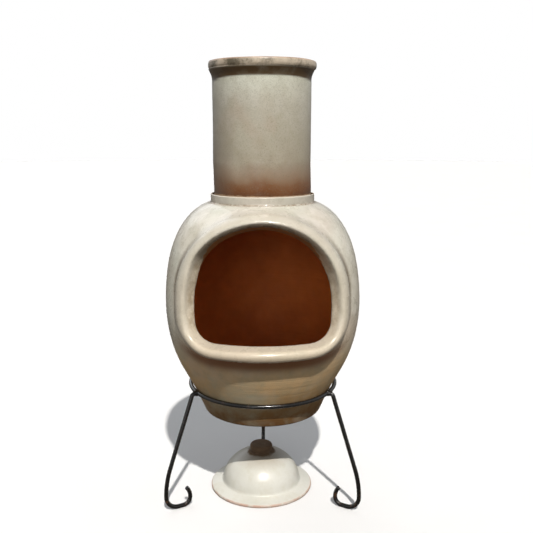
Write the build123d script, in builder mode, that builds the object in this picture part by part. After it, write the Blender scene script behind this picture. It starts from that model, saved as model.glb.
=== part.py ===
from build123d import *
import math
import os

# A two-piece clay chiminea on a wrought-steel stand, with its lid laid on the ground beneath it.
# Millimetres. +Z is up, the origin is on the pot's axis at ground level, the mouth faces -Y.

# --- pot ---------------------------------------------------------------------------------
WALL = 20.0  # clay wall of the pot and the flue
BASE_Z = 257.0  # underside of the pot
BASE_FLAT_R = 150.0  # flat disc that the pot's underside ends in
SHOULDER_Z = 868.0  # where the shoulder ends under the collar
# Outer wall of the pot from its base corner to the shoulder, as radius and height.
BELLY = [(172, 263), (205, 337), (249, 423), (277, 535), (276, 650), (241.5, 782), (170, 860)]
SHOULDER_R = 151.0
CUT_PAST = 10.0  # cuts run this far beyond the clay they open
WALL_STATIONS = 12  # points at which the wall's thickness is set off from its outside

# --- mouth -------------------------------------------------------------------------------
MOUTH_SPRING_Z = 630.0  # height at which the mouth's arch springs from its upright sides
LIP_HALF_WIDTH = 232.0
LIP_TOP_Z = 858.0
LIP_BOTTOM_Z = 485.0
LIP_BACK_Y = 110.0  # the lip's frame starts inside the belly, this far in front of the axis
LIP_REACH = 240.0
LIP_CORNER = (103.0, 100.0)  # half axes of the lip's lower corners
LIP_STANDS_OUT = 18.0  # how far the lip stands out of the belly all round
LIP_LEANS_OUT = 17.0  # further reach towards the front, most at the lower lip
LIP_NOSE_R = 14.0  # rounding of the lip's outer front edge
THROAT_EDGE_R = 10.0  # rounding of the lip's inner front edge
LIP_ROOT_R = 8.0  # hollow where the lip grows out of the belly
# The opening widens towards the front: distance in front of the axis, half width, top, bottom and
# the half axes of the lower corners.
MOUTH_INNER = (180.0, 170.0, 800.0, 535.0, (48.0, 48.0))
MOUTH_OUTER = (340.0, 296.0, 886.0, 508.0, (118.0, 96.0))

# --- neck collar and flue ----------------------------------------------------------------
COLLAR_R = 146.5
COLLAR_TOP_Z = 892.0
COLLAR_ROOT = 4.0  # depth to which the collar is rooted in the shoulder
COLLAR_EDGE_R = 2.2
SOCKET_R = 141.0  # the flue's foot drops into this rebate
SOCKET_DEPTH = 12.0
NECK_R = 113.0  # smoke passage through the neck
NECK_FOOT_Z = 828.0  # the passage is cut from here, inside the pot, upwards
FLUE_R = 137.2
FLUE_BORE_R = 117.0
FLUE_TOP_Z = 1250.0
FLUE_FOOT_CHAMFER = 1.6
RIM_R = 149.2
RIM_FACE = 24.0  # height of the rolled rim's upright face
RIM_COVE = 18.0  # height of the slope under the rim
RIM_EDGE_R = 4.0
EDGE_PICK = 1.0  # margin in height when edges are picked

# --- protective bed inside the pot -------------------------------------------------------
SAND_TOP_Z = 332.0
STONE_SIZE = (54.0, 48.0, 42.0)
STONE_ROUND_R = 30.0
STONE_PITCH = 66.0
STONE_TURN = 37.0  # each stone of a ring is turned this much more than the last
STONE_RINGS = ((1, 0.0), (6, STONE_PITCH), (12, 2 * STONE_PITCH))  # count and ring radius

# --- stand -------------------------------------------------------------------------------
BAR_R = 6.0  # round steel bar of the ring and the legs
RING_R = 212.3
RING_Z = 336.0
LEGS = (("leg_left", -150.0), ("leg_right", -30.0), ("leg_rear", 90.0))  # angle about Z from +X
LEG_TOP_BEND_R = 11.0
LEG_SLOPE = 70.7  # the straight of a leg, degrees from the ground
LEG_KNEE_R = 250.0  # gentle bend from the sloping straight to upright
FOOT_R = 315.0  # bar centre of the outermost upright above the foot
SCROLL_R = 37.0
SCROLL_SOLE = 15.0  # straight stretch of the scroll on the ground
SCROLL_TOE_R = 21.5
SCROLL_TIP_R = 45.0
SCROLL_TIP_TURN = 40.0
WELD_ROOT_R = 9.5  # bead of weld at the ring, and where it runs out along the leg
WELD_END_R = 6.6
WELD_LENGTH = 10.0
WELD_ROOT_INSET = 4.0  # the bead starts this far inside the ring's outer edge

# --- lid ---------------------------------------------------------------------------------
LID_X = -5.0  # the lid lies a little off the pot's axis
LID_Y = 11.0
BRIM_R = 153.0
BRIM_EDGE_T = 8.0
BRIM_T = 18.0  # thickness where the sloping brim meets the dome
DOME_R = 117.0
DOME_H = 93.5
HOLLOW_R = 105.0  # open underside of the dome
HOLLOW_H = 93.0
KNOB_FOOT_R = 30.0
KNOB_TOP_R = 34.5
KNOB_FLANGE_R = 35.0  # low ring of clay round the knob's foot
KNOB_FLANGE_T = 3.0
KNOB_NECK_Z = 104.0  # where the dome runs into the knob
KNOB_TOP_Z = 130.0
KNOB_EDGE_R = 4.0

GAP = 0.3  # clearance between pieces that lift apart

os.makedirs("parts", exist_ok=True)


def save(piece, name):
    piece.part.label = name
    export_step(piece.part, f"parts/{name}.step")


def belly_section(grow):
    """Half section of the belly, its wall moved outwards by a distance, or inwards if negative."""
    with BuildSketch(Plane.XZ) as section:
        with BuildLine():
            outside = Spline(*BELLY, (SHOULDER_R, SHOULDER_Z), mode=Mode.PRIVATE)
            stations = [index / WALL_STATIONS for index in range(WALL_STATIONS + 1)]
            normals = [(outside % t).rotate(Axis.Z, -90) for t in stations]
            wall = Spline(*[outside @ t + normal * grow for t, normal in zip(stations, normals)])
            Polyline(wall @ 1, (0, (wall @ 1).Y), (0, (wall @ 0).Y), wall @ 0)
        make_face()
    return section.sketch


def mouth_outline(distance, half_width, top, bottom, corner):
    """Arched top, upright sides, rounded lower corners and a flat sill, in front of the axis."""
    side_x, side_z = corner
    with BuildSketch(Plane.XZ.offset(distance)) as outline:
        with BuildLine():
            arch = EllipticalCenterArc(
                (0, MOUTH_SPRING_Z), half_width, top - MOUTH_SPRING_Z, start_angle=0, arc_size=90
            )
            low = EllipticalCenterArc(
                (half_width - side_x, bottom + side_z), side_x, side_z, start_angle=270, arc_size=90
            )
            Line(low @ 1, arch @ 0)
            Line((0, bottom), low @ 0)
            mirror(about=Plane.YZ)
        make_face()
    return outline.sketch


# Front of the lip: the belly's own shape, larger and nearer the front.
with BuildPart() as lip_front:
    revolve(belly_section(LIP_STANDS_OUT), axis=Axis.Z)

# The lip is a frame of clay round the mouth, whose front follows the belly further out.
with BuildPart() as lip:
    extrude(
        mouth_outline(LIP_BACK_Y, LIP_HALF_WIDTH, LIP_TOP_Z, LIP_BOTTOM_Z, LIP_CORNER),
        amount=LIP_REACH,
    )
    add(lip_front.part.moved(Location((0, -LIP_LEANS_OUT, 0))), mode=Mode.INTERSECT)
    fillet(lip.edges().filter_by(GeomType.BSPLINE), LIP_NOSE_R)

# The space that the mouth cuts through the lip and the wall, wider towards the front.
with BuildPart() as mouth_cut:
    loft(sections=[mouth_outline(*MOUTH_INNER), mouth_outline(*MOUTH_OUTER)], ruled=True)
    extrude(mouth_outline(*MOUTH_INNER), amount=-MOUTH_INNER[0])

# The room inside the pot, from the top of its clay bottom to under the collar.
with BuildPart() as cavity:
    revolve(belly_section(-WALL), axis=Axis.Z)
    split(bisect_by=Plane.XY.offset(BASE_Z + WALL), keep=Keep.TOP)

# Pot: belly, lip and collar are one fired piece.
with BuildPart() as fire_bowl:
    revolve(belly_section(0), axis=Axis.Z)
    with BuildSketch(Plane.XZ):
        with BuildLine():
            Polyline(BELLY[0], (0, BELLY[0][1]), (0, BASE_Z), (BASE_FLAT_R, BASE_Z))
            TangentArc((BASE_FLAT_R, BASE_Z), BELLY[0], tangent=(1, 0))
        make_face()
    revolve(axis=Axis.Z)
    add(lip.part)
    fillet(fire_bowl.edges(Select.NEW), LIP_ROOT_R)
    with BuildSketch(Plane.XY.offset(SHOULDER_Z - COLLAR_ROOT)):
        Circle(COLLAR_R)
    extrude(amount=COLLAR_TOP_Z - SHOULDER_Z + COLLAR_ROOT)
    add(cavity.part, mode=Mode.SUBTRACT)
    with BuildSketch(Plane.XY.offset(NECK_FOOT_Z)):
        Circle(NECK_R)
    extrude(amount=COLLAR_TOP_Z - NECK_FOOT_Z + CUT_PAST, mode=Mode.SUBTRACT)
    with BuildSketch(Plane.XY.offset(COLLAR_TOP_Z - SOCKET_DEPTH)):
        Circle(SOCKET_R)
    extrude(amount=SOCKET_DEPTH + CUT_PAST, mode=Mode.SUBTRACT)
    add(mouth_cut.part, mode=Mode.SUBTRACT)
    lip_face = fire_bowl.faces().filter_by(GeomType.REVOLUTION).sort_by(Axis.Y)[0]
    fillet(lip_face.inner_wires()[0].edges(), THROAT_EDGE_R)
    fillet(fire_bowl.edges().filter_by(GeomType.CIRCLE).sort_by(Axis.Z)[-2:], COLLAR_EDGE_R)
save(fire_bowl, "fire_bowl")

# Flue: an open clay tube with a rolled rim, whose foot stands in the collar's rebate.
FLUE_FOOT_Z = COLLAR_TOP_Z - SOCKET_DEPTH + GAP
with BuildPart() as chimney:
    with BuildSketch(Plane.XZ):
        with BuildLine():
            Polyline(
                (FLUE_BORE_R, FLUE_FOOT_Z),
                (FLUE_R - FLUE_FOOT_CHAMFER, FLUE_FOOT_Z),
                (FLUE_R, FLUE_FOOT_Z + FLUE_FOOT_CHAMFER),
                (FLUE_R, FLUE_TOP_Z - RIM_FACE - RIM_COVE),
                (RIM_R, FLUE_TOP_Z - RIM_FACE),
                (RIM_R, FLUE_TOP_Z),
                (FLUE_BORE_R, FLUE_TOP_Z),
                close=True,
            )
        make_face()
    revolve(axis=Axis.Z)
    fillet(chimney.edges().group_by(Axis.Z)[-1], RIM_EDGE_R)
    rim_edges = chimney.edges().filter_by(GeomType.CIRCLE).filter_by_position(
        Axis.Z, FLUE_TOP_Z - RIM_FACE - RIM_COVE - EDGE_PICK, FLUE_TOP_Z - RIM_FACE + EDGE_PICK
    )
    fillet(rim_edges, RIM_EDGE_R)
save(chimney, "chimney")

# Sand fills the bottom of the pot and keeps the embers off the clay.
with BuildPart() as sand_bed:
    add(cavity.part)
    split(bisect_by=Plane.XY.offset(SAND_TOP_Z), keep=Keep.BOTTOM)
save(sand_bed, "sand_bed")

# One tumbled lump of lava rock, then a layer of them on the sand.
with BuildPart() as stone:
    Box(*STONE_SIZE)
    Sphere(STONE_ROUND_R, mode=Mode.INTERSECT)

with BuildPart() as lava_stones:
    for count, ring_radius in STONE_RINGS:
        for index in range(count):
            angle = 360 * index / count
            with Locations(Plane.XY.offset(SAND_TOP_Z + STONE_SIZE[2] / 2)):
                with Locations(Location((0, 0, 0), (0, 0, angle)) * Location((ring_radius, 0, 0))):
                    add(stone.part, rotation=(0, 0, STONE_TURN * index))
save(lava_stones, "lava_stones")

# Stand ring: round bar bent to a hoop, which the pot's tapering bottom sits in.
with BuildPart() as stand_ring:
    with Locations((0, 0, RING_Z)):
        Torus(RING_R, BAR_R)
save(stand_ring, "stand_ring")


def radial_plane(angle):
    """Upright plane through the pot's axis: x runs outwards at an angle, y runs up."""
    out = Vector(math.cos(math.radians(angle)), math.sin(math.radians(angle)), 0)
    return Plane(origin=(0, 0, 0), x_dir=out, z_dir=out.cross(Vector(0, 0, 1)))


def leg_path(plane):
    """Bar centre line: butt on the ring, bend, sloping straight, knee and a scroll for a foot."""
    slope = math.radians(LEG_SLOPE)
    down = (math.cos(slope), -math.sin(slope))
    sole_z = BAR_R
    knee_end = (FOOT_R, sole_z + SCROLL_R)
    knee_turn = 90 - LEG_SLOPE
    knee_start = (
        FOOT_R - LEG_KNEE_R * (1 - math.cos(math.radians(knee_turn))),
        sole_z + SCROLL_R + LEG_KNEE_R * math.sin(math.radians(knee_turn)),
    )
    butt = (RING_R + BAR_R, RING_Z)
    reach = (knee_start[1] - butt[1]) / down[1]
    corner = (knee_start[0] - reach * down[0], butt[1])
    with BuildLine(plane) as path:
        FilletPolyline(butt, corner, knee_start, radius=LEG_TOP_BEND_R)
        JernArc(knee_start, down, LEG_KNEE_R, -knee_turn)
        JernArc(knee_end, (0, -1), SCROLL_R, -90)
        Line((FOOT_R - SCROLL_R, sole_z), (FOOT_R - SCROLL_R - SCROLL_SOLE, sole_z))
        JernArc((FOOT_R - SCROLL_R - SCROLL_SOLE, sole_z), (-1, 0), SCROLL_TOE_R, -90)
        JernArc(
            (FOOT_R - SCROLL_R - SCROLL_SOLE - SCROLL_TOE_R, sole_z + SCROLL_TOE_R),
            (0, 1),
            SCROLL_TIP_R,
            -SCROLL_TIP_TURN,
        )
    return path


leg_parts = []
for leg_name, leg_angle in LEGS:
    leg_line = leg_path(radial_plane(leg_angle)).line
    with BuildPart() as leg:
        with BuildSketch(Plane(origin=leg_line @ 0, z_dir=leg_line % 0)):
            Circle(BAR_R)
        sweep(path=leg_line)
    save(leg, leg_name)
    leg_parts.append(leg.part)

# A bead of weld round the butt of each leg on the ring.
with BuildPart() as leg_welds:
    for _, leg_angle in LEGS:
        plane = radial_plane(leg_angle)
        root = plane.from_local_coords((RING_R + BAR_R - WELD_ROOT_INSET, RING_Z))
        with Locations(Plane(origin=root, z_dir=plane.x_dir)):
            Cone(WELD_ROOT_R, WELD_END_R, WELD_LENGTH, align=(Align.CENTER, Align.CENTER, Align.MIN))
    add([stand_ring.part, *leg_parts], mode=Mode.SUBTRACT)
save(leg_welds, "leg_welds")

# Lid: a domed cap on a brim that slopes out to a thin edge, hollow beneath, with a knob of the same clay.
with BuildPart() as lid:
    with BuildSketch(Plane(origin=(LID_X, LID_Y, 0), x_dir=(1, 0, 0), z_dir=(0, -1, 0))):
        with BuildLine():
            dome_top = math.asin((KNOB_NECK_Z - BRIM_T) / DOME_H)
            dome = EllipticalCenterArc(
                (0, BRIM_T), DOME_R, DOME_H, start_angle=0, arc_size=math.degrees(dome_top)
            )
            Polyline((HOLLOW_R, 0), (BRIM_R, 0), (BRIM_R, BRIM_EDGE_T), dome @ 0)
            Polyline(
                dome @ 1,
                (KNOB_FLANGE_R, KNOB_NECK_Z + KNOB_FLANGE_T),
                (KNOB_FOOT_R, KNOB_NECK_Z + KNOB_FLANGE_T),
                (KNOB_TOP_R, KNOB_TOP_Z - KNOB_EDGE_R),
                (KNOB_TOP_R - KNOB_EDGE_R, KNOB_TOP_Z),
                (0, KNOB_TOP_Z),
                (0, HOLLOW_H),
            )
            hollow_r = (HOLLOW_R**2 + HOLLOW_H**2) / (2 * HOLLOW_H)
            RadiusArc((0, HOLLOW_H), (HOLLOW_R, 0), hollow_r)
        make_face()
    revolve(axis=Axis((LID_X, LID_Y, 0), (0, 0, 1)))
save(lid, "lid")
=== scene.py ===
"""Looks for the chiminea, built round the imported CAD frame. Metres, +Z up, the mouth faces -Y.

Pottery shapes are worked out in millimetres and scaled by MM when their meshes are made.
"""

import math

import bpy
import numpy as np
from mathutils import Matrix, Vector, noise


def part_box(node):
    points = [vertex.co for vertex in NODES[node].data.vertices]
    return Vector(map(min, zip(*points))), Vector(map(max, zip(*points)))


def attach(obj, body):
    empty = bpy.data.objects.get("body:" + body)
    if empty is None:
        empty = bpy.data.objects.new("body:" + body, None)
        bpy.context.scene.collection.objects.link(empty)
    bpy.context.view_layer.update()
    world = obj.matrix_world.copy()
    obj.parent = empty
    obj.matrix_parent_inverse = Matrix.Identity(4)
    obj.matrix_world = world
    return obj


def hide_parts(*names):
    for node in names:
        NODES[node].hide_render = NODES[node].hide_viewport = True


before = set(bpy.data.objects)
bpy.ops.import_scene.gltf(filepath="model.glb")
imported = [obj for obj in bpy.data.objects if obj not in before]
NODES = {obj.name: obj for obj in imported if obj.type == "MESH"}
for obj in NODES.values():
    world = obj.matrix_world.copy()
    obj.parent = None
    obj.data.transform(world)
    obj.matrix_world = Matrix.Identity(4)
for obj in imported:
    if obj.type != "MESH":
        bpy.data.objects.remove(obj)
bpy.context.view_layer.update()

MM = 0.001
FULL_TURN = 2 * math.pi
rng = np.random.default_rng(20261118)


# --- shapes ------------------------------------------------------------------------------
def box_mm(name):
    low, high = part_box(name)
    return np.array(low) / MM, np.array(high) / MM


def smooth_curve(points, count):
    """Natural cubic spline through points, by chord length."""
    p = np.array(points, float)
    t = np.r_[0, np.cumsum(np.hypot(*np.diff(p, axis=0).T))]
    n, h = len(t), np.diff(t)
    system, right = np.eye(n), np.zeros((n, 2))
    for i in range(1, n - 1):
        system[i, i - 1 : i + 2] = h[i - 1], 2 * (h[i - 1] + h[i]), h[i]
        right[i] = 6 * ((p[i + 1] - p[i]) / h[i] - (p[i] - p[i - 1]) / h[i - 1])
    bend = np.linalg.solve(system, right)
    s = np.linspace(0, t[-1], count)
    i = np.clip(np.searchsorted(t, s, side="right") - 1, 0, n - 2)
    a, b, step = ((t[i + 1] - s) / h[i])[:, None], ((s - t[i]) / h[i])[:, None], h[i][:, None]
    return (a * p[i] + b * p[i + 1]
            + ((a**3 - a) * bend[i] + (b**3 - b) * bend[i + 1]) * step**2 / 6)


def signed_map(outline, low, high, step):
    """Signed distance to a closed outline on a grid, negative inside it."""
    u, v = (np.arange(low[k], high[k] + step, step) for k in (0, 1))
    u, v = np.meshgrid(u, v, indexing="ij")
    best, inside = np.full(u.shape, np.inf), np.zeros(u.shape, bool)
    for (au, av), (bu, bv) in zip(outline, np.roll(outline, -1, axis=0)):
        eu, ev = bu - au, bv - av
        t = np.clip(((u - au) * eu + (v - av) * ev) / (eu * eu + ev * ev), 0, 1)
        best = np.minimum(best, np.hypot(u - au - t * eu, v - av - t * ev))
        if ev:
            crosses = (av > v) != (bv > v)
            inside ^= crosses & (u < au + (v - av) * eu / ev)
    return np.where(inside, -best, best), low, step


def sample(chart, u, v):
    """Bilinear look-up in a signed_map."""
    grid, low, step = chart
    edge = 1.001  # keeps a look-up beyond the map in its last cell
    a = np.clip((u - low[0]) / step, 0, grid.shape[0] - edge)
    b = np.clip((v - low[1]) / step, 0, grid.shape[1] - edge)
    i, j = a.astype(int), b.astype(int)
    a, b = a - i, b - j
    return ((1 - a) * ((1 - b) * grid[i, j] + b * grid[i, j + 1])
            + a * ((1 - b) * grid[i + 1, j] + b * grid[i + 1, j + 1]))


def round_and(a, b, radius):
    """Inside both, with a rounded edge."""
    return (np.minimum(np.maximum(a, b), -radius)
            + np.hypot(np.maximum(a + radius, 0), np.maximum(b + radius, 0)))


def round_or(a, b, radius):
    """Inside either, with a hollow fillet where they meet."""
    return -round_and(-a, -b, radius)


def drift(x, y, z, wavelength, seed, waves=7):
    """Smooth handmade unevenness, about -1 to 1: sine waves in random directions and phases."""
    local = np.random.default_rng(seed)
    total = 0
    for _ in range(waves):
        way = local.normal(size=3)
        way *= FULL_TURN / wavelength / np.linalg.norm(way)
        total = total + np.sin(x * way[0] + y * way[1] + z * way[2] + local.uniform(0, 6.3))
    return total / math.sqrt(waves * 2)


def ease(value, start, end):
    """0 before start, 1 after end, smooth between."""
    t = np.clip((value - start) / (end - start), 0, 1)
    return t * t * (3 - 2 * t)


def fade(value, start, end):
    """1 before start, 0 after end, smooth between."""
    return 1 - ease(value, start, end)


def between(pair, share):
    return pair[0] + (pair[1] - pair[0]) * share


# --- pot, as a field that is negative inside the clay ------------------------------------
pot_low, pot_high = box_mm("fire_bowl")
BASE_Z, COLLAR_TOP = pot_low[2], pot_high[2]

# Belly: radius and height up its outside, from the foot's turn to under the collar.
BELLY = [(172, 263), (205, 337), (249, 423), (277, 535), (276, 650), (241.5, 782), (170, 860), (151, 868)]
FOOT_FLAT_R = 150
FOOT_TURN = (168, BASE_Z + 0.4)  # control point of the curve from the flat foot to the belly
WALL = 20

# Lip: the belly's own surface, moved out and forward, within an outline seen from the front.
LIP_STANDS_OUT, LIP_LEANS_OUT, LIP_BACK_Y = 18, 17, 110
LIP_NOSE_R = 14
LIP_ROOT_R, LIP_ROOT_Z = (6, 20), (740, 850)  # hollow at the lip's root, low down and at the top

# Mouth: its outlines are half width, top, sill, and the width and height of the lower corners.
MOUTH_X = 2.5  # the mouth sits a little off the axis
SPRING_Z = 630  # where the sides turn into the arch
LIP_OUTLINE = (232, 858, 485, 103, 100)
MOUTH_INNER_Y, MOUTH_INNER = 180, (170, 800, 535, 48, 48)
MOUTH_OUTER_Y, MOUTH_OUTER = 340, (296, 889, 508, 118, 96)
THROAT_TRIM = 1  # the throat is this much narrower than its outlines
THROAT_EDGE_R, THROAT_EDGE_Z = (12, 5), (600, 760)  # rounding of its edge, at the sill and at the arch
LEFT_FULLER = 0.075  # the hand-cut arch is fuller at its left shoulder,
FULLER_X, FULLER_Z = (20, 110), (670, 760)  # growing over these distances left and up
SILL_DROP, SILL_HALF = 6, 113  # how far the sill falls away, and how far from the middle
SILL_FADE_Z = (560, 640)  # the fall is gone above this

# Collar, and the socket and neck through it.
COLLAR_R, COLLAR_FOOT, COLLAR_EDGE_R, COLLAR_ROOT_R = 146.5, 864, 2.4, 1.2
SOCKET_DEPTH, SOCKET_R, SOCKET_EDGE_R = 12, 141, 1.6
NECK_R, NECK_EDGE_R = 113, 4
INSET = 0.45  # keeps the uneven surface within the CAD piece


def mouth_points(half, top, bottom, corner_x, corner_z):
    """Right half of a mouth outline and its mirror image, closed."""
    up = np.linspace(0, math.pi / 2, 60)
    arch = np.c_[half * np.cos(up), SPRING_Z + (top - SPRING_Z) * np.sin(up)]
    low = np.c_[half - corner_x + corner_x * np.sin(up), bottom + corner_z * (1 - np.cos(up))]
    side = np.vstack([low, arch])
    return np.vstack([side, side[::-1] * (-1, 1)])[:-1]


MAP_LOW, MAP_HIGH = (0, BASE_Z - 20), (345, COLLAR_TOP + 20)
BEYOND_AXIS = -400  # the belly's outline runs past the axis, so that the axis is well inside it

belly_line = smooth_curve(BELLY, 150)
foot_turn = np.linspace(0, 1, 8)[:-1, None]
foot_line = ((1 - foot_turn) ** 2 * (FOOT_FLAT_R, BASE_Z)
             + 2 * foot_turn * (1 - foot_turn) * FOOT_TURN + foot_turn**2 * BELLY[0])
belly_outline = np.vstack([(BEYOND_AXIS, BASE_Z), foot_line, belly_line, (BEYOND_AXIS, BELLY[-1][1])])
BELLY_MAP = signed_map(belly_outline, MAP_LOW, MAP_HIGH, 2.0)
LIP_MAP, INNER_MAP, OUTER_MAP = (signed_map(mouth_points(*outline), MAP_LOW, MAP_HIGH, 2.5)
                                 for outline in (LIP_OUTLINE, MOUTH_INNER, MOUTH_OUTER))


def pot_parts(x, y, z):
    """Distances to the outside clay, the cavity and the throat at each point."""
    swell = (1 + 0.0016 * drift(x, y, z, wavelength=420, seed=3)
             + 0.0006 * drift(x, y, z, wavelength=130, seed=4))
    x, y = x * swell, y * swell
    z = z + 0.5 * drift(x, y, z, wavelength=260, seed=5)
    r = np.hypot(x, y)
    belly = sample(BELLY_MAP, r, z)
    lip_shell = sample(BELLY_MAP, np.hypot(x, y + LIP_LEANS_OUT), z) - LIP_STANDS_OUT
    lip = round_and(lip_shell, sample(LIP_MAP, np.abs(x), z), LIP_NOSE_R)
    lip = np.maximum(lip, y + LIP_BACK_Y)
    clay = round_or(belly, lip, between(LIP_ROOT_R, ease(z, *LIP_ROOT_Z)))
    cavity = np.maximum(belly + WALL, BASE_Z + WALL - z)
    reach = np.clip((-y - MOUTH_INNER_Y) / (MOUTH_OUTER_Y - MOUTH_INNER_Y), 0, 1.1)
    off = np.abs(x - MOUTH_X) * (1 - LEFT_FULLER * ease(-x, *FULLER_X) * ease(z, *FULLER_Z))
    lowered = z + SILL_DROP * (off / SILL_HALF) ** 2 * fade(z, *SILL_FADE_Z)
    throat = (1 - reach) * sample(INNER_MAP, off, lowered) + reach * sample(OUTER_MAP, off, lowered)
    throat = np.maximum(throat + THROAT_TRIM, y)
    return r, z, belly, lip_shell, clay, cavity, throat


def pot_field(x, y, z):
    r, z, _, _, clay, cavity, throat = pot_parts(x, y, z)
    collar = round_and(r - COLLAR_R, z - COLLAR_TOP + INSET, COLLAR_EDGE_R)
    clay = round_or(clay, np.maximum(collar, COLLAR_FOOT - z), COLLAR_ROOT_R)
    clay = np.maximum(clay, -cavity)
    clay = round_and(clay, -throat, between(THROAT_EDGE_R, ease(z, *THROAT_EDGE_Z)))
    neck = np.maximum(r - NECK_R, COLLAR_FOOT - 2 * WALL - z)
    clay = round_and(clay, -neck, NECK_EDGE_R)
    socket = np.maximum(r - SOCKET_R, COLLAR_TOP - SOCKET_DEPTH - z)
    return round_and(clay, -socket, SOCKET_EDGE_R) + INSET


def steps(*runs):
    """Uneven axis: runs of (start, end, spacing), joined."""
    parts = [np.linspace(a, b, max(2, round((b - a) / step) + 1))[:-1] for a, b, step in runs]
    return np.r_[np.concatenate(parts), runs[-1][1]]


def cell_points(values, cells):
    """Mean place, in grid steps, of the field's zero on the twelve edges of each cell."""
    corner_steps = np.array([(a, b, c) for a in (0, 1) for b in (0, 1) for c in (0, 1)])
    corners = cells[:, None, :] + corner_steps
    at = values[corners[..., 0] % values.shape[0], corners[..., 1], corners[..., 2]]
    place, hits = np.zeros((len(cells), 3)), np.zeros(len(cells))
    for a in range(8):
        for b in range(a + 1, 8):
            if np.abs(corner_steps[a] - corner_steps[b]).sum() != 1:
                continue
            cross = (at[:, a] < 0) != (at[:, b] < 0)
            gap = np.where(cross, at[:, a] - at[:, b], 1)
            t = (at[:, a] / gap)[:, None]
            point = corner_steps[a] * (1 - t) + corner_steps[b] * t
            place += np.where(cross[:, None], point, 0)
            hits += cross
    return cells + place / hits[:, None]


def crossing_quads(solid, index, axis):
    """One quad for each grid edge along an axis that the surface crosses, facing outward."""
    shape = solid.shape
    edges = np.argwhere(solid != np.roll(solid, -1, axis=axis))
    if axis:
        edges = edges[edges[:, axis] < shape[axis] - 1]
    other = [k for k in range(3) if k != axis]
    for k in other:
        if k:
            edges = edges[(edges[:, k] > 0) & (edges[:, k] < shape[k] - 1)]
    ring = []
    for du, dv in ((0, 0), (1, 0), (1, 1), (0, 1)):
        cell = edges.copy()
        cell[:, other[0]] -= du
        cell[:, other[1]] -= dv
        cell[:, 0] %= shape[0]
        ring.append(index[tuple(cell.T)])
    quads = np.stack(ring, 1)
    flip = solid[tuple(edges.T)] ^ (axis == 1)
    quads[flip] = quads[flip][:, ::-1]
    return quads


def surface_nets(field, turns, radii, heights):
    """Quads over the field's zero, on a grid of angle, radius and height that closes in angle."""
    shape = (len(turns), len(radii), len(heights))
    values = np.empty(shape, np.float32)
    radius, height = np.meshgrid(radii, heights, indexing="ij")
    for i, turn in enumerate(turns):
        values[i] = field(radius * math.cos(turn), radius * math.sin(turn), height)
    solid = values < 0
    count = np.zeros((shape[0], shape[1] - 1, shape[2] - 1), np.int8)
    for layer in (solid, np.roll(solid, -1, axis=0)):
        for dj in (0, 1):
            for dk in (0, 1):
                count += layer[:, dj : shape[1] - 1 + dj, dk : shape[2] - 1 + dk]
    cells = np.argwhere((count > 0) & (count < 8))
    index = np.full(count.shape, -1, np.int32)
    index[tuple(cells.T)] = np.arange(len(cells))
    place = cell_points(values, cells)
    turn_axis = np.r_[turns, turns[:2] + FULL_TURN]
    turn, radius, height = (np.interp(place[:, k], np.arange(len(axis)), axis)
                            for k, axis in enumerate((turn_axis, radii, heights)))
    points = np.c_[radius * np.cos(turn), radius * np.sin(turn), height]
    return points, np.vstack([crossing_quads(solid, index, axis) for axis in range(3)])


def settle(field, points):
    """Moves points along the field's slope onto its zero."""
    step, rounds, longest_move, least_slope = 0.6, 3, 2.0, 0.2
    for _ in range(rounds):
        value = field(*points.T)
        slope = np.stack([(field(*(points + shift).T) - field(*(points - shift).T)) / (2 * step)
                          for shift in np.eye(3) * step], 1)
        size = np.maximum((slope**2).sum(1), least_slope)
        move = -(value / size)[:, None] * slope
        length = np.linalg.norm(move, axis=1, keepdims=True)
        points = points + move * np.minimum(1, longest_move / np.maximum(length, 1e-9))
    return points


def pot_marks(points):
    """Where each kind of surface shows on the pot, 0 to 1 at every point.

    The limits are millimetres: distances from a surface or an outline, or heights and radii.
    """
    x, y, z = points.T
    r = np.hypot(x, y)
    _, _, belly, lip_shell, _, cavity, throat = pot_parts(x, y, z)
    lip_edge = sample(LIP_MAP, np.abs(x), z)
    forward = ease(-y, LIP_BACK_Y, LIP_BACK_Y + 30)
    round_mouth = forward * ease(throat, 10, 30)
    in_throat = fade(np.abs(throat), 2, 16)
    on_collar = ease(r, SOCKET_R + 1, SOCKET_R + 4)
    deep_in_throat = in_throat * ease(-lip_shell - 40 + 24 * ease(z, 690, 790), 0, 20)
    neck_inside = fade(r, SOCKET_R + 2.5, SOCKET_R + 4.5) * ease(z, 842, 850)
    seam_z = COLLAR_FOOT + 4.5
    return {
        "lip": forward * fade(lip_edge, -6, 8) * ease(throat, -8, 4),
        # painted shade in the hollow where the lip meets the belly, fading out towards the top
        "crease_shade": (round_mouth * (1 - 0.93 * ease(z, 710, 820)) * fade(np.abs(lip_edge - 3), 0, 9)
                   * fade(np.abs(belly - 1), 4, 20)),
        # painted shadow that the lip casts on the bowl below it
        "underlip_shadow": round_mouth * ease(lip_edge, -16, -2) * fade(lip_edge, 18, 50) * fade(z, 470, 520),
        "jamb": in_throat * ease(-lip_shell, 6, 26),
        "inside": np.maximum.reduce([deep_in_throat, fade(cavity, 3, 9), neck_inside]),
        # painted highlight on the collar's rounded top edge
        "edge": ease(z, COLLAR_TOP - 5, COLLAR_TOP - 2) * ease(r, SOCKET_R + 2, SOCKET_R + 5),
        "collar": ease(z, seam_z - 0.5, seam_z + 4.5) * fade(z, 886, 890) * on_collar,
        "seam": np.exp(-(((z - seam_z) / 2.2) ** 2)) * on_collar * fade(r, 153, 158),
    }


def make_mesh(name, points, faces, marks):
    """Object from points in millimetres, with each mark as a float attribute on its points."""
    mesh = bpy.data.meshes.new(name)
    mesh.from_pydata((points * MM).tolist(), [], faces)
    for key, values in marks.items():
        mesh.attributes.new(key, "FLOAT", "POINT").data.foreach_set("value", np.float32(values))
    mesh.polygons.foreach_set("use_smooth", [True] * len(mesh.polygons))
    mesh.validate()
    mesh.update()
    made = bpy.data.objects.new(name, mesh)
    bpy.context.scene.collection.objects.link(made)
    return made


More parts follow.
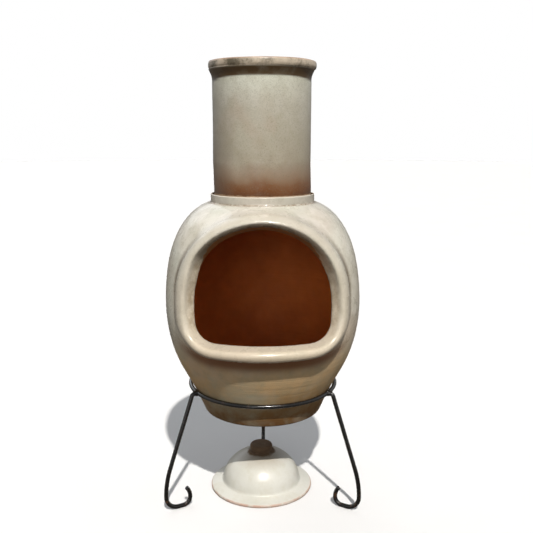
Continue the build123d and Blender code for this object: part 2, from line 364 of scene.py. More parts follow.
# Grid: finer in front, and where the throat, the collar and the socket are.
FRONT = math.radians(-90)
SPREAD = 1.0
pot_turns = FRONT + np.radians(steps(
    (-180, -85, 1.6 * SPREAD), (-85, 85, SPREAD), (85, 180, 1.6 * SPREAD)))[:-1]
pot_radii = steps(
    (2, 98, 8), (98, 110, 4), (110, 117, 2), (117, 137, 4), (137, 151, 1.4), (151, 330, 4.6 * SPREAD))
pot_heights = steps(
    (BASE_Z - 6, BASE_Z + 30, 4), (BASE_Z + 30, 840, 5 * SPREAD), (840, 876, 3.6), (876, COLLAR_TOP + 2, 1.5))
pot_points, pot_quads = surface_nets(pot_field, pot_turns, pot_radii, pot_heights)
pot_points = settle(pot_field, pot_points)
pot = make_mesh("pot", pot_points, pot_quads.tolist(), pot_marks(pot_points))
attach(pot, "pot")
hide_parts("fire_bowl")


# --- turned pieces -----------------------------------------------------------------------
def soften(points, radii, arc):
    """Polyline with its corners rounded by the given radii, arc points to each."""
    made = [np.array(points[0], float)]
    for before, corner, after, radius in zip(points, points[1:], points[2:], radii[1:]):
        corner = np.array(corner, float)
        to_before, to_after = np.array(before) - corner, np.array(after) - corner
        a, b = np.linalg.norm(to_before), np.linalg.norm(to_after)
        cut = min(radius, 0.49 * a, 0.49 * b)
        start, end = corner + to_before / a * cut, corner + to_after / b * cut
        for t in np.linspace(0, 1, arc):
            made.append((1 - t) ** 2 * start + 2 * t * (1 - t) * corner + t * t * end)
    made.append(np.array(points[-1], float))
    return np.array(made)


def divide(line, spacing):
    """Adds points so that no stretch is longer than spacing."""
    made = [line[0]]
    for a, b in zip(line, line[1:]):
        parts = max(1, math.ceil(np.linalg.norm(b - a) / spacing))
        made += [a + (b - a) * k / parts for k in range(1, parts + 1)]
    return np.array(made)


def turned(name, line, segments, centre, shape, marks=None, closed=True):
    """Turns a profile of radius and height about an upright axis; shape bends its points."""
    angles = np.arange(segments) * FULL_TURN / segments
    points, rings = [], []
    for r, z in line:
        start = len(points)
        if r < 1e-6:
            points.append((0.0, 0.0, z))
            rings.append([start] * segments)
        else:
            points += [(r * math.cos(a), r * math.sin(a), z) for a in angles]
            rings.append(list(range(start, start + segments)))
    if closed:
        rings.append(rings[0])
    faces = []
    for low, high in zip(rings, rings[1:]):
        if low[0] == low[1] and high[0] == high[1]:
            continue
        for k in range(segments):
            n = (k + 1) % segments
            faces.append(list(dict.fromkeys([low[k], low[n], high[n], high[k]])))
    points = shape(np.array(points))
    return make_mesh(name, points + (*centre, 0), faces, marks(points) if marks else {})


flue_low, flue_high = box_mm("chimney")
FLUE_R, BORE_R, RIM_R = 137.2, 117.5, flue_high[0]
FLUE_FOOT, FLUE_TOP = flue_low[2], flue_high[2]
FOOT_Z = FLUE_FOOT + 0.2
RIM_FACE, RIM_COVE = 24, 18
FLUE_INSET = 0.8  # keeps the uneven surface within the CAD piece
FLUE_LEAN = -2.0  # above its foot the tube stands this far to one side
INNER_FACE_R, RIM_ROOT_R, RIM_FREE_R = 125, 140, 146


def flue_shape(points):
    x, y, z = points.T
    r = np.hypot(x, y)
    high = (z - FLUE_FOOT) / (FLUE_TOP - FLUE_FOOT)
    rise = ease(high, 0.03, 0.3)
    outward = (1.0 * drift(x, y, z, wavelength=300, seed=11)
               + 0.5 * drift(x, y, z, wavelength=95, seed=12))
    grooves = 0.07 * np.sin(z / 2.9) + 0.07 * np.sin(z / 4.7 + 1)
    tube = ease(z, FLUE_FOOT + 14, FLUE_FOOT + 40) * fade(z, FLUE_TOP - 50, FLUE_TOP - 40)
    at_rim = ease(z, FLUE_TOP - 30, FLUE_TOP - 16)
    bent = (r - FLUE_INSET + outward * rise * (1 - 0.35 * at_rim) * 0.8
            + grooves * tube * (r > INNER_FACE_R))
    bent = np.where(r > RIM_ROOT_R, np.minimum(bent, RIM_R - 0.3), bent)
    lean = np.where(bent > RIM_FREE_R, 0, FLUE_LEAN * rise)
    top_wave = ease(high, 0.9, 1.0) * (0.7 * drift(x, y, z, wavelength=260, seed=13) - 0.9)
    return np.c_[x / r * bent + lean, y / r * bent, z + top_wave]


def flue_marks(points):
    x, y, z = points.T
    r = np.hypot(x, y)
    cove_arch = 9 * (np.abs(x) / FLUE_R) ** 4  # the painted shadow of the rim hangs lower at the sides
    return {
        "inside": fade(np.hypot(x - FLUE_LEAN, y), 120, 127),
        "foot": fade(z, FLUE_FOOT + SOCKET_DEPTH, FLUE_FOOT + SOCKET_DEPTH + 3),
        "rim": ease(z, FLUE_TOP - 6, FLUE_TOP - 3),
        "face": ease(z, FLUE_TOP - RIM_FACE - 3, FLUE_TOP - RIM_FACE + 3) * (r > 136),
        # painted shadow that the rim casts on the tube
        "rim_shadow": (ease(z + cove_arch, FLUE_TOP - 48, FLUE_TOP - 44)
                 * fade(z, FLUE_TOP - RIM_FACE - 2, FLUE_TOP - RIM_FACE + 4) * (r > 128)),
    }


bore_seam = (BORE_R, 1100)  # where the closed profile starts and ends, out of sight
flue_line = soften(
    [bore_seam, (BORE_R, FOOT_Z), (FLUE_R, FOOT_Z), (FLUE_R, FLUE_TOP - RIM_FACE - RIM_COVE),
     (RIM_R - 3.5, FLUE_TOP - RIM_FACE + 1), (RIM_R, FLUE_TOP - RIM_FACE + 8), (RIM_R - 0.5, FLUE_TOP),
     (BORE_R, FLUE_TOP - 1), bore_seam],
    [0, 2.5, 2.5, 9, 5, 9, 9, 8, 0], arc=7)
flue_line = divide(flue_line, 7)[:-1]
flue = turned("flue_tube", flue_line[::-1], 192, (0, 0), flue_shape, flue_marks)
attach(flue, "flue")
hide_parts("chimney")

lid_low, lid_high = box_mm("lid")
LID_XY = ((lid_low[0] + lid_high[0]) / 2, (lid_low[1] + lid_high[1]) / 2)
BRIM_R, BRIM_EDGE_T, BRIM_T = (lid_high[0] - lid_low[0]) / 2, 8, 18
DOME_R, DOME_H = 117, 93.5
DOME_START, DOME_STOP = 0.07, 0.97  # start in radians and stop as a share: room for the arcs beyond
HOLLOW_R, HOLLOW_H, HOLLOW_SWEEP = 105, 93, 1.26  # sweep in radians of the curve that is stretched to fit
KNOB_TOP, KNOB_R = lid_high[2], 34.6
NECK_Z, NECK_STEP_Z, KNOB_NECK_R = 104, 107.5, 29.5


def lid_shape(points):
    x, y, z = points.T
    swell = (0.996 + 0.003 * drift(x, y, z, wavelength=260, seed=21)
             + 0.0012 * drift(x, y, z, wavelength=70, seed=22))
    sag = 0.5 * drift(x, y, z, wavelength=190, seed=23) * ease(z, 3, 10)
    settled = 0.5 * ease(z, KNOB_TOP - 15, KNOB_TOP)
    return np.c_[x * swell, y * swell, np.maximum(z + sag - settled, 0.02)]


def lid_marks(points):
    x, y, z = points.T
    r = np.hypot(x, y)
    return {
        "under": fade(z, 0.5, 2.5),
        "knob": ease(z, NECK_Z - 3, NECK_Z + 5) * (r < 60),
        "brim": ease(r, BRIM_R - 4, BRIM_R - 1.5),
    }


dome_end = math.asin((NECK_Z - BRIM_T) / DOME_H)
dome_arc = [(DOME_R * math.cos(a), BRIM_T + DOME_H * math.sin(a))
            for a in np.linspace(DOME_START, dome_end * DOME_STOP, 30)]
hollow_arc = [(HOLLOW_R * math.sin(a) / math.sin(HOLLOW_SWEEP),
               HOLLOW_H - (1 - math.cos(a)) / (1 - math.cos(HOLLOW_SWEEP)) * HOLLOW_H)
              for a in np.linspace(0, HOLLOW_SWEEP, 24)]
brim_line = soften(
    [(HOLLOW_R, 0), (BRIM_R, 0), (BRIM_R, BRIM_EDGE_T), (DOME_R + 2, BRIM_T), dome_arc[0]],
    [0, 3, 3.5, 4, 0], arc=6)
knob_line = soften(
    [dome_arc[-1], (40, NECK_Z + 2), (37, NECK_STEP_Z), (KNOB_NECK_R, NECK_STEP_Z),
     (KNOB_R, KNOB_TOP - 7), (KNOB_R - 3.1, KNOB_TOP), (0, KNOB_TOP - 1)],
    [0, 2, 2, 3, 9, 6, 0], arc=6)
lid_line = divide(np.vstack([brim_line, dome_arc[1:], knob_line[1:], hollow_arc]), 6)
lid = turned("lid_cap", lid_line[:-1], 160, LID_XY, lid_shape, lid_marks)
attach(lid, "lid")
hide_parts("lid")


# --- bed inside the pot ------------------------------------------------------------------
sand_low, sand_high = box_mm("sand_bed")
SAND_FOOT, SAND_TOP = sand_low[2] + 1, sand_high[2]
SAND_GAP = 1.5  # between the sand and the pot's inner wall
slope = np.gradient(belly_line, axis=0)
inward = np.c_[-slope[:, 1], slope[:, 0]] / np.linalg.norm(slope, axis=1)[:, None]
wall_line = belly_line + inward * (WALL + SAND_GAP)
wall_line = wall_line[(wall_line[:, 1] > SAND_FOOT) & (wall_line[:, 1] < SAND_TOP - 4)]


def sand_shape(points):
    x, y, z = points.T
    level = 0 * z
    lumps = (2.2 * drift(x, y, level, wavelength=95, seed=31)
             + 0.9 * drift(x, y, level, wavelength=28, seed=32, waves=11))
    return np.c_[x, y, z + ease(z, SAND_TOP - 8, SAND_TOP - 4) * (np.minimum(lumps, 2.6) - 0.3)]


sand_line = np.vstack([(0, SAND_FOOT), (wall_line[0, 0], SAND_FOOT), wall_line, (0, SAND_TOP - 3.5)])
bed = turned("sand_layer", divide(sand_line, 7), 120, (0, 0), sand_shape, closed=False)
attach(bed, "pot")
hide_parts("sand_bed")

STONE_RINGS, STONE_PITCH, STONE_RADIUS, STONE_SINKS = (1, 6, 12), 66, (27.0, 24.5, 21.0), 2.5
bpy.ops.mesh.primitive_ico_sphere_add(subdivisions=4, radius=1)
ball = bpy.context.object
ball_points = np.array([v.co for v in ball.data.vertices])
ball_faces = np.array([p.vertices for p in ball.data.polygons])
bpy.data.objects.remove(ball)


def lump(seed):
    """One broken, pitted stone about a unit across each half axis."""
    pull = Vector(np.random.default_rng(seed).uniform(-50, 50, 3))
    made = []
    for point in ball_points:
        p = Vector(point)
        broken = 0.30 * noise.noise(p * 1.1 + pull) + 0.16 * noise.noise(p * 2.7 + pull)
        to_pit = noise.voronoi(p * 3.4 + pull)[0][0]
        pitted = 0.11 * max(0.0, 0.42 - to_pit)
        made.append(p * (0.93 + broken - pitted + 0.03 * noise.noise(p * 9 + pull)))
    return np.array(made)


stone_points, stone_faces = [], []
for ring, count in enumerate(STONE_RINGS):
    for place in range(count):
        turn = rng.uniform(0, FULL_TURN)
        cos, sin = math.cos(turn), math.sin(turn)
        spin = np.array([[cos, -sin, 0], [sin, cos, 0], [0, 0, 1]])
        stone = lump(ring * 20 + place) * STONE_RADIUS * rng.uniform(0.94, 1.04) @ spin.T
        at = FULL_TURN * place / count
        stone += (ring * STONE_PITCH * math.cos(at), ring * STONE_PITCH * math.sin(at),
                  SAND_TOP - STONE_SINKS - stone[:, 2].min())
        stone_faces.append(ball_faces + len(ball_points) * len(stone_points))
        stone_points.append(stone)
stones = make_mesh("lava_rocks", np.vstack(stone_points), np.vstack(stone_faces).tolist(), {})
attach(stones, "pot")
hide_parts("lava_stones")


# --- materials ---------------------------------------------------------------------------
class Shader:
    """One material's node tree, with the nodes it needs made by short calls."""

    def __init__(self, name):
        self.material = bpy.data.materials.new(name)
        self.material.use_nodes = True
        self.tree = self.material.node_tree
        self.tree.nodes.clear()
        out = self.tree.nodes.new("ShaderNodeOutputMaterial")
        self.bsdf = self.tree.nodes.new("ShaderNodeBsdfPrincipled")
        self.tree.links.new(self.bsdf.outputs[0], out.inputs[0])
        self.place = self.tree.nodes.new("ShaderNodeTexCoord").outputs["Object"]

    def put(self, socket, value):
        if isinstance(value, bpy.types.NodeSocket):
            self.tree.links.new(value, socket)
        elif value is not None:
            if socket.type == "RGBA" and len(value) == 3:
                value = (*value, 1)
            socket.default_value = value

    def set(self, **sockets):
        for name, value in sockets.items():
            self.put(self.bsdf.inputs[name.replace("_", " ")], value)

    def axes(self):
        split = self.tree.nodes.new("ShaderNodeSeparateXYZ")
        self.put(split.inputs[0], self.place)
        return split.outputs

    def stretch(self, scale):
        mapping = self.tree.nodes.new("ShaderNodeMapping")
        self.put(mapping.inputs["Vector"], self.place)
        mapping.inputs["Scale"].default_value = scale
        return mapping.outputs[0]

    def noise(self, scale, detail=3, rough=0.5, vector=None, warp=0):
        node = self.tree.nodes.new("ShaderNodeTexNoise")
        for key, value in (("Vector", vector or self.place), ("Scale", scale), ("Detail", detail),
                           ("Roughness", rough), ("Distortion", warp)):
            self.put(node.inputs[key], value)
        return node.outputs["Fac"]

    def cells(self, scale):
        """Distance to the nearest of many scattered points."""
        node = self.tree.nodes.new("ShaderNodeTexVoronoi")
        self.put(node.inputs["Vector"], self.place)
        self.put(node.inputs["Scale"], scale)
        return node.outputs["Distance"]

    def ramp(self, value, *stops):
        """Stops of (position, grey or colour)."""
        node = self.tree.nodes.new("ShaderNodeValToRGB")
        elements = node.color_ramp.elements
        while len(elements) < len(stops):
            elements.new(1)
        for element, (position, colour) in zip(elements, stops):
            element.position = position
            colour = colour if isinstance(colour, tuple) else (colour,) * 3
            element.color = (*colour, 1)
        self.put(node.inputs[0], value)
        return node.outputs[0]

    def math(self, kind, a, b, clamp=False):
        node = self.tree.nodes.new("ShaderNodeMath")
        node.operation, node.use_clamp = kind, clamp
        self.put(node.inputs[0], a)
        self.put(node.inputs[1], b)
        return node.outputs[0]

    def times(self, a, b):
        return self.math("MULTIPLY", a, b)

    def add(self, a, b):
        return self.math("ADD", a, b)

    def span(self, value, low, high, to_low=0.0, to_high=1.0):
        node = self.tree.nodes.new("ShaderNodeMapRange")
        for key, number in enumerate((value, low, high, to_low, to_high)):
            self.put(node.inputs[key], number)
        return node.outputs[0]

    def mix(self, share, a, b):
        node = self.tree.nodes.new("ShaderNodeMix")
        node.data_type = "RGBA"
        self.put(node.inputs["Factor"], share)
        self.put(node.inputs[6], a)
        self.put(node.inputs[7], b)
        return node.outputs[2]

    def mark(self, name):
        node = self.tree.nodes.new("ShaderNodeAttribute")
        node.attribute_name = name
        return node.outputs["Fac"]

    def bump(self, height, depth, strength, normal=None):
        node = self.tree.nodes.new("ShaderNodeBump")
        self.put(node.inputs["Strength"], strength)
        self.put(node.inputs["Distance"], depth)
        self.put(node.inputs["Height"], height)
        self.put(node.inputs["Normal"], normal)
        return node.outputs[0]

    def wash(self, colour, tint, most, low, high, **grain):
        """Tints a colour in patches, up to a share, as noise goes from low to high."""
        return self.mix(self.span(self.noise(**grain), low, high, 0, most), colour, tint)

    def specks(self, base, size, tint, share, high=0.14):
        """Small dark specks thrown over a colour, in patches."""
        dots = self.ramp(self.cells(size), (0.045, 1.0), (high, 0.0))
        patchy = self.span(self.noise(size * 0.13, 2), 0.4, 0.62)
        return self.mix(self.times(self.times(dots, patchy), share), base, tint)

    def ragged(self, mark, scale, wobble, low, high, detail=3):
        """A mark with its edge broken up by noise."""
        wander = self.span(self.noise(scale, detail), 0.3, 0.7, -wobble, wobble)
        return self.span(self.add(self.mark(mark), wander), low, high)

    def two_tone(self, dark, light, scale, detail, rough, high=0.7):
        """Noise between two colours."""
        return self.ramp(self.noise(scale, detail, rough), (0.3, dark), (high, light))

    def throwing_rings(self, density, depth, strength):
        """Fine level rings, as the potter's fingers leave."""
        return self.bump(self.noise(1.0, 2, 0.5, vector=self.stretch((3, 3, density))), depth, strength)


def pot_outside(s, z, level):
    """Raw brown foot, tan bowl and cream glaze above, greyer on the lip, painted shade in the hollow where it
    meets the belly, and a painted shadow under the lip.
    """
    colour = s.ramp(level, (0.0, (0.15, 0.063, 0.012)), (0.10, (0.29, 0.16, 0.055)),
                    (0.20, (0.66, 0.435, 0.21)), (0.31, (0.66, 0.475, 0.265)),
                    (0.38, (0.73, 0.615, 0.45)), (0.50, (0.84, 0.79, 0.67)),
                    (0.80, (0.74, 0.71, 0.60)), (1.0, (0.76, 0.72, 0.65)))
    colour = s.wash(colour, (0.36, 0.33, 0.22), 0.5, 0.42, 0.72, scale=26, detail=6, rough=0.62, warp=0.3)
    colour = s.wash(colour, (0.74, 0.68, 0.56), 0.4, 0.5, 0.8, scale=9, detail=4, rough=0.55)
    colour = s.wash(colour, (0.58, 0.40, 0.33), 0.28, 0.53, 0.72, scale=4.2, warp=0.4)
    colour = s.wash(colour, (0.52, 0.60, 0.50), 0.3, 0.52, 0.7, scale=5.7, warp=0.3)
    colour = s.specks(colour, 230, (0.15, 0.11, 0.06), 0.65, high=0.2)
    colour = s.specks(colour, 420, (0.20, 0.15, 0.09), 0.6, high=0.22)
    lip_tone = s.mix(s.span(z, 0.60, 0.84), (0.66, 0.58, 0.45), (0.56, 0.51, 0.41))
    colour = s.mix(s.times(s.mark("lip"), 0.55), colour, lip_tone)
    # painted shade in the hollow at the lip's root
    colour = s.mix(s.times(s.mark("crease_shade"), 0.8), colour, (0.15, 0.105, 0.055))
    # painted shadow under the lip
    return s.mix(s.times(s.mark("underlip_shadow"), 0.9), colour, (0.19, 0.056, 0.005))


def pot_jamb(s, z):
    """Sides of the throat: speckled tan, paler on the sill, and dark in the arch as painted shade."""
    tan = s.mix(s.span(s.noise(45, 5, 0.7), 0.35, 0.62), (0.50, 0.40, 0.26), (0.80, 0.71, 0.56))
    tan = s.specks(tan, 300, (0.16, 0.11, 0.06), 0.7, high=0.25)
    tan = s.mix(s.span(z, 0.56, 0.525), tan, (0.62, 0.54, 0.43))
    # painted shade: the throat's sides turn dark up in the arch
    return s.mix(s.span(z, 0.70, 0.78), tan, (0.085, 0.055, 0.022))


def pot_inside(s, y, z, jamb):
    """Fired orange chamber, made brighter as painted firelight, sooty above, browner in front, and raw clay
    in the neck and socket.
    """
    # terracotta orange, made brighter as painted firelight
    clay_and_firelight = s.two_tone((0.64, 0.165, 0.026), (0.80, 0.225, 0.038), 11, 5, 0.6)
    soot = s.times(s.span(z, 0.58, 0.84), s.span(s.noise(7, 4), 0.3, 0.7, 0.25, 0.75))
    clay_and_firelight = s.mix(soot, clay_and_firelight, (0.46, 0.13, 0.026))
    clay_and_firelight = s.mix(s.span(y, 0.07, -0.09), clay_and_firelight, (0.36, 0.135, 0.05))
    clay_and_firelight = s.mix(s.times(jamb, 0.92), clay_and_firelight, (0.27, 0.105, 0.028))
    return s.mix(s.span(z, 0.845, 0.86), clay_and_firelight, (0.20, 0.13, 0.08))


def pot_collar(s, colour):
    """Greyer face on the collar, a dirty seam at its foot and a painted highlight along its top edge."""
    face = s.times(s.mark("collar"), s.span(s.noise(14, 5, 0.7), 0.3, 0.65, 0.35, 0.95))
    colour = s.mix(face, colour, s.specks((0.50, 0.46, 0.385), 330, (0.15, 0.12, 0.08), 0.9, high=0.3))
    seam = s.times(s.mark("seam"), s.span(s.noise(170, 2, 0.7), 0.38, 0.55, 0.15, 0.95))
    colour = s.mix(seam, colour, (0.24, 0.16, 0.09))
    # painted highlight along the collar's top edge
    edge = s.times(s.mark("edge"), s.span(s.noise(90), 0.3, 0.6, 0.4, 1.0))
    return s.mix(edge, colour, (0.72, 0.64, 0.52))


def pot_glaze():
    s = Shader("pot_glaze")
    _, y, z = s.axes()
    wander = s.span(s.noise(5, 4, 0.6), 0.2, 0.8, -0.035, 0.035)
    level = s.span(s.add(z, wander), 0.25, 0.9)
    jamb = s.mark("jamb")
    inside = s.ragged("inside", 60, 0.22, 0.35, 0.65)
    colour = s.mix(s.times(jamb, 0.85), pot_outside(s, z, level), pot_jamb(s, z))
    colour = s.mix(inside, colour, pot_inside(s, y, z, jamb))
    raw = s.math("MAXIMUM", inside, s.span(level, 0.36, 0.27))
    gloss = s.span(s.noise(40, 4), 0.3, 0.7, 0.22, 0.36)
    pits = s.ramp(s.cells(330), (0.0, 0.0), (0.16, 1.0))
    normal = s.throwing_rings(190, 0.0011, s.add(s.times(raw, 0.45), 0.25))
    normal = s.bump(s.noise(420, 3, 0.6), 0.0006, s.add(s.times(raw, 0.6), 0.14), normal)
    normal = s.bump(pits, 0.0005, 0.35, normal)
    s.set(Base_Color=pot_collar(s, colour), Normal=normal, IOR=1.5,
          Roughness=s.math("ADD", s.times(raw, 0.45), gloss, clamp=True),
          Coat_Weight=s.span(raw, 0, 1, 0.55, 0.0), Coat_Roughness=0.14)
    return s.material


def flue_outside(s, x, z):
    """Grey-green glaze above a scorched brown foot, speckled all over, with painted shade down the left side.
    """
    wander = s.span(s.noise(5.5, 5, 0.6, warp=0.2), 0.3, 0.7, -0.014, 0.014)
    level = s.span(s.add(z, wander), 0.86, 1.25)
    colour = s.ramp(level, (0.15, (0.33, 0.265, 0.195)), (0.48, (0.45, 0.41, 0.32)),
                    (0.72, (0.57, 0.54, 0.45)), (1.0, (0.80, 0.83, 0.70)))
    colour = s.wash(colour, (0.35, 0.31, 0.19), 0.4, 0.42, 0.75, scale=30, detail=6, rough=0.62, warp=0.3)
    colour = s.wash(colour, (0.72, 0.70, 0.58), 0.35, 0.5, 0.8, scale=10, detail=4)
    colour = s.wash(colour, (0.50, 0.32, 0.22), 0.28, 0.54, 0.72, scale=6.2, warp=0.4)
    brown = s.ramp(level, (0.06, (0.09, 0.028, 0.007)), (0.13, (0.17, 0.058, 0.014)),
                   (0.22, (0.25, 0.135, 0.07)))
    colour = s.mix(s.span(level, 0.32, 0.17), colour, brown)
    colour = s.specks(colour, 240, (0.12, 0.10, 0.055), 0.8, high=0.24)
    colour = s.specks(colour, 430, (0.17, 0.14, 0.08), 0.7, high=0.25)
    flecks = s.times(s.span(s.noise(300, 3, 0.8), 0.5, 0.72), 0.5)
    colour = s.mix(flecks, colour, (0.20, 0.19, 0.13))
    # painted shade: the tube's left side is darker, more so lower down
    left_side_shade = s.times(s.span(x, -0.07, -0.125), s.span(z, 1.22, 0.95, 0.45, 1))
    return s.mix(s.times(left_side_shade, 0.45), colour, (0.15, 0.115, 0.08))


def flue_rim(s, colour):
    """Grimy tan face, worn top and a painted shadow of the rim beneath."""
    face = s.mark("face")
    face_tone = s.two_tone((0.42, 0.315, 0.215), (0.62, 0.51, 0.39), 28, 5, 0.65, high=0.6)
    colour = s.mix(s.times(face, 0.85), colour, face_tone)
    grime = s.times(face, s.span(s.noise(17, 6, 0.75), 0.46, 0.62, 0, 0.9))
    colour = s.mix(grime, colour, (0.075, 0.06, 0.03))
    colour = s.mix(s.times(s.mark("rim"), 0.7), colour, (0.50, 0.33, 0.23))
    # painted shadow cast by the rim on the tube
    rim_shadow = s.times(s.mark("rim_shadow"), s.span(s.noise(20, 4, 0.6), 0.25, 0.5, 0.85, 1.0))
    return s.mix(rim_shadow, colour, (0.075, 0.042, 0.014))


def flue_glaze():
    s = Shader("flue_glaze")
    x, _, z = s.axes()
    foot = s.ragged("foot", 80, 0.2, 0.4, 0.6)
    inside = s.mark("inside")
    sooty = s.two_tone((0.03, 0.016, 0.01), (0.12, 0.05, 0.025), 12, 5, 0.6)
    colour = s.mix(foot, flue_rim(s, flue_outside(s, x, z)), (0.40, 0.26, 0.15))
    raw = s.math("MAXIMUM", inside, foot)
    gloss = s.span(s.noise(36, 4), 0.3, 0.7, 0.32, 0.5)
    pits = s.ramp(s.cells(300), (0.0, 0.0), (0.16, 1.0))
    normal = s.throwing_rings(230, 0.0007, 0.12)
    normal = s.bump(s.noise(420, 3, 0.6), 0.0006, 0.35, normal)
    normal = s.bump(pits, 0.0005, 0.4, normal)
    s.set(Base_Color=s.mix(inside, colour, sooty), Normal=normal, IOR=1.5,
          Roughness=s.add(s.times(raw, 0.4), gloss),
          Coat_Weight=s.span(raw, 0, 1, 0.3, 0.0), Coat_Roughness=0.25)
    return s.material


def lid_glaze():
    s = Shader("lid_glaze")
    _, _, z = s.axes()
    colour = s.two_tone((0.63, 0.62, 0.545), (0.73, 0.72, 0.66), 9, 4, 0.55)
    colour = s.wash(colour, (0.45, 0.40, 0.25), 0.3, 0.45, 0.75, scale=34, detail=6, rough=0.6, warp=0.3)
    colour = s.specks(colour, 300, (0.20, 0.14, 0.08), 0.5)
    # painted shadow: the dome's top darkens to brown towards the knob, where the pot's shadow falls on it
    colour = s.mix(s.times(s.span(z, 0.08, 0.106), 0.55), colour, (0.28, 0.21, 0.14))
    knob = s.ragged("knob", 40, 0.25, 0.3, 0.8, detail=4)
    knob_tone = s.two_tone((0.12, 0.065, 0.028), (0.19, 0.115, 0.058), 35, 4, 0.5)
    colour = s.mix(s.times(knob, 0.95), colour, knob_tone)
    brim = s.times(s.mark("brim"), s.span(s.noise(60, 4), 0.25, 0.55))
    colour = s.mix(brim, colour, (0.56, 0.38, 0.30))
    under = s.mark("under")
    clay = s.two_tone((0.34, 0.16, 0.085), (0.50, 0.26, 0.14), 16, 5, 0.6)
    raw = s.math("MAXIMUM", s.math("MAXIMUM", under, knob), s.times(brim, 0.8))
    gloss = s.span(s.noise(30, 4), 0.3, 0.7, 0.3, 0.42)
    normal = s.throwing_rings(210, 0.0008, 0.3)
    normal = s.bump(s.noise(380, 3, 0.6), 0.0005, 0.25, normal)
    s.set(Base_Color=s.mix(under, colour, clay), Normal=normal, IOR=1.5,
          Roughness=s.add(s.times(raw, 0.5), gloss),
          Coat_Weight=s.span(raw, 0, 1, 0.4, 0.0), Coat_Roughness=0.34)
    return s.material


def black_steel():
    s = Shader("black_steel_paint")
    _, _, z = s.axes()
    colour = s.two_tone((0.0025, 0.0025, 0.0025), (0.006, 0.0055, 0.0055), 50, 4, 0.6)
    near_ground = s.add(s.times(s.span(z, 0.10, 0.0), 0.75), 0.12)
    rust = s.times(s.span(s.noise(75, 6, 0.7), 0.52, 0.66), near_ground)
    colour = s.mix(rust, colour, (0.13, 0.055, 0.022))
    rough = s.add(s.times(rust, 0.35), s.span(s.noise(60, 4), 0.3, 0.7, 0.17, 0.28))
    normal = s.bump(s.noise(70, 2, 0.5), 0.0012, 0.45)
    normal = s.bump(s.noise(700, 3, 0.6), 0.0003, 0.4, normal)
    s.set(Base_Color=colour, Roughness=rough, Normal=normal, Specular_IOR_Level=0.5,
          Coat_Weight=0.8, Coat_Roughness=0.12)
    return s.material


def lava_rock():
    s = Shader("lava_rock")
    colour = s.ramp(s.noise(60, 6, 0.7), (0.3, (0.035, 0.028, 0.026)), (0.55, (0.09, 0.055, 0.045)),
                    (0.75, (0.17, 0.085, 0.055)))
    pits = s.ramp(s.cells(190), (0.05, 0.0), (0.45, 1.0))
    colour = s.mix(s.times(s.math("SUBTRACT", 1.0, pits), 0.8), colour, (0.012, 0.009, 0.008))
    normal = s.bump(pits, 0.004, 0.9)
    normal = s.bump(s.noise(260, 5, 0.7), 0.002, 0.7, normal)
    s.set(Base_Color=colour, Roughness=s.span(s.noise(90), 0.3, 0.7, 0.78, 0.95), Normal=normal)
    return s.material


def ashy_sand():
    s = Shader("sand")
    colour = s.two_tone((0.22, 0.15, 0.09), (0.48, 0.37, 0.24), 900, 4, 0.8)
    colour = s.wash(colour, (0.17, 0.155, 0.145), 0.7, 0.45, 0.7, scale=12, detail=5, rough=0.65)
    normal = s.bump(s.noise(1400, 3, 0.8), 0.0008, 0.8)
    normal = s.bump(s.noise(45, 4, 0.6), 0.004, 0.6, normal)
    s.set(Base_Color=colour, Roughness=s.span(s.noise(200, 2), 0.3, 0.7, 0.85, 0.98), Normal=normal)
    return s.material


def dress(piece, material):
    piece.data.materials.clear()
    piece.data.materials.append(material)


dress(pot, pot_glaze())
dress(flue, flue_glaze())
dress(lid, lid_glaze())
steel = black_steel()
for name in ("stand_ring", "leg_left", "leg_right", "leg_rear", "leg_welds"):
    dress(NODES[name], steel)
dress(bed, ashy_sand())
dress(stones, lava_rock())


# --- studio ------------------------------------------------------------------------------
def lay_floor():
    bpy.ops.mesh.primitive_plane_add(size=60)
    floor = bpy.context.object
    floor.name = "floor"
    s = Shader("floor_paint")
    s.set(Base_Color=s.two_tone((0.87, 0.87, 0.87), (0.89, 0.89, 0.89), 3, 2, 0.5),
          Roughness=s.span(s.noise(20, 2), 0.3, 0.7, 0.75, 0.85))
    dress(floor, s.material)
    floor.visible_diffuse = floor.visible_glossy = False


def hang_backdrop():
    bpy.ops.mesh.primitive_uv_sphere_add(segments=48, ring_count=24, radius=29)
    backdrop = bpy.context.object
    backdrop.name = "backdrop"
    s = Shader("backdrop_white")
    s.set(Base_Color=(0, 0, 0), Emission_Color=(1, 1, 1), Emission_Strength=1.0, Specular_IOR_Level=0.0)
    dress(backdrop, s.material)
    backdrop.visible_diffuse = backdrop.visible_glossy = backdrop.visible_shadow = False


def sun(name, energy, azimuth, elevation, spread, colour):
    """Sun at an azimuth turned from the front and a height above the ground, in degrees."""
    data = bpy.data.lights.new(name, "SUN")
    data.energy, data.color, data.angle = energy, colour, math.radians(spread)
    light = bpy.data.objects.new(name, data)
    bpy.context.scene.collection.objects.link(light)
    a, e = math.radians(azimuth), math.radians(elevation)
    way = Vector((math.sin(a) * math.cos(e), -math.cos(a) * math.cos(e), math.sin(e)))
    light.rotation_euler = way.to_track_quat("Z", "Y").to_euler()


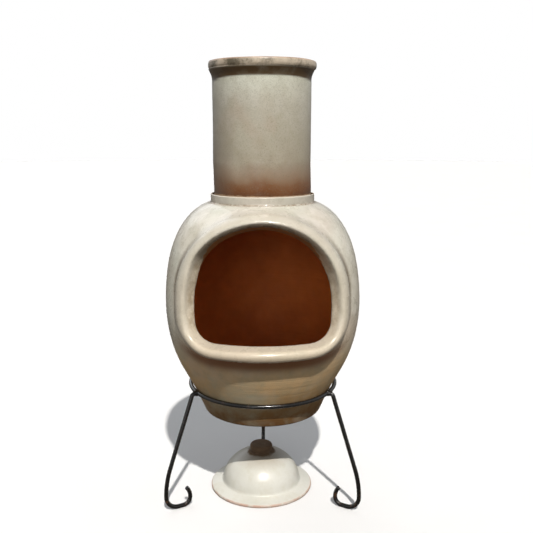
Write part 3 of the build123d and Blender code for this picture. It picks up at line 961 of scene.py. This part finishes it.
GROUND_GLOW = (0.13, 0.115, 0.10)
SKY = ((0.0, GROUND_GLOW), (0.47, GROUND_GLOW), (0.53, (0.36, 0.365, 0.37)), (0.75, (0.28, 0.29, 0.305)))
SKY_AHEAD, SKY_AT_SIDES = 0.55, 1.45  # strength in front and behind, and to either side
CAMERA_PLACE = (0.0111, -1.974, 1.051)
CAMERA_TILT, CAMERA_LENS, CAMERA_SENSOR = 10.66, 47.0, 36.0  # degrees below level, then millimetres


def paint_sky():
    world = bpy.data.worlds.new("studio")
    bpy.context.scene.world = world
    world.use_nodes = True
    tree = world.node_tree
    back = tree.nodes["Background"]
    way = tree.nodes.new("ShaderNodeTexCoord")
    split = tree.nodes.new("ShaderNodeSeparateXYZ")
    tree.links.new(way.outputs["Generated"], split.inputs[0])

    height = tree.nodes.new("ShaderNodeMapRange")
    height.inputs["From Min"].default_value = -1
    ramp = tree.nodes.new("ShaderNodeValToRGB")
    elements = ramp.color_ramp.elements
    while len(elements) < len(SKY):
        elements.new(1)
    for element, (position, colour) in zip(elements, SKY):
        element.position, element.color = position, (*colour, 1)
    tree.links.new(split.outputs["Z"], height.inputs["Value"])
    tree.links.new(height.outputs[0], ramp.inputs[0])
    tree.links.new(ramp.outputs[0], back.inputs["Color"])

    side = tree.nodes.new("ShaderNodeMath")
    side.operation = "ABSOLUTE"
    strength = tree.nodes.new("ShaderNodeMapRange")
    strength.inputs["To Min"].default_value = SKY_AHEAD
    strength.inputs["To Max"].default_value = SKY_AT_SIDES
    tree.links.new(split.outputs["X"], side.inputs[0])
    tree.links.new(side.outputs[0], strength.inputs["Value"])
    tree.links.new(strength.outputs[0], back.inputs["Strength"])


def stand_camera():
    camera = bpy.data.objects.new("camera", bpy.data.cameras.new("camera"))
    camera.data.lens, camera.data.sensor_width = CAMERA_LENS, CAMERA_SENSOR
    camera.location = CAMERA_PLACE
    camera.rotation_euler = (math.radians(90 - CAMERA_TILT), 0, 0)
    bpy.context.scene.collection.objects.link(camera)
    bpy.context.scene.camera = camera


lay_floor()
hang_backdrop()
sun("key", 3.4, 10, 51.5, 1.3, (1.0, 0.965, 0.92))
sun("front_fill", 0.22, -12, 10, 25, (1.0, 0.99, 0.97))
sun("back_fill", 0.5, 205, 38, 50, (0.95, 0.98, 1.0))
paint_sky()
stand_camera()
bpy.context.scene.view_settings.view_transform = "Standard"
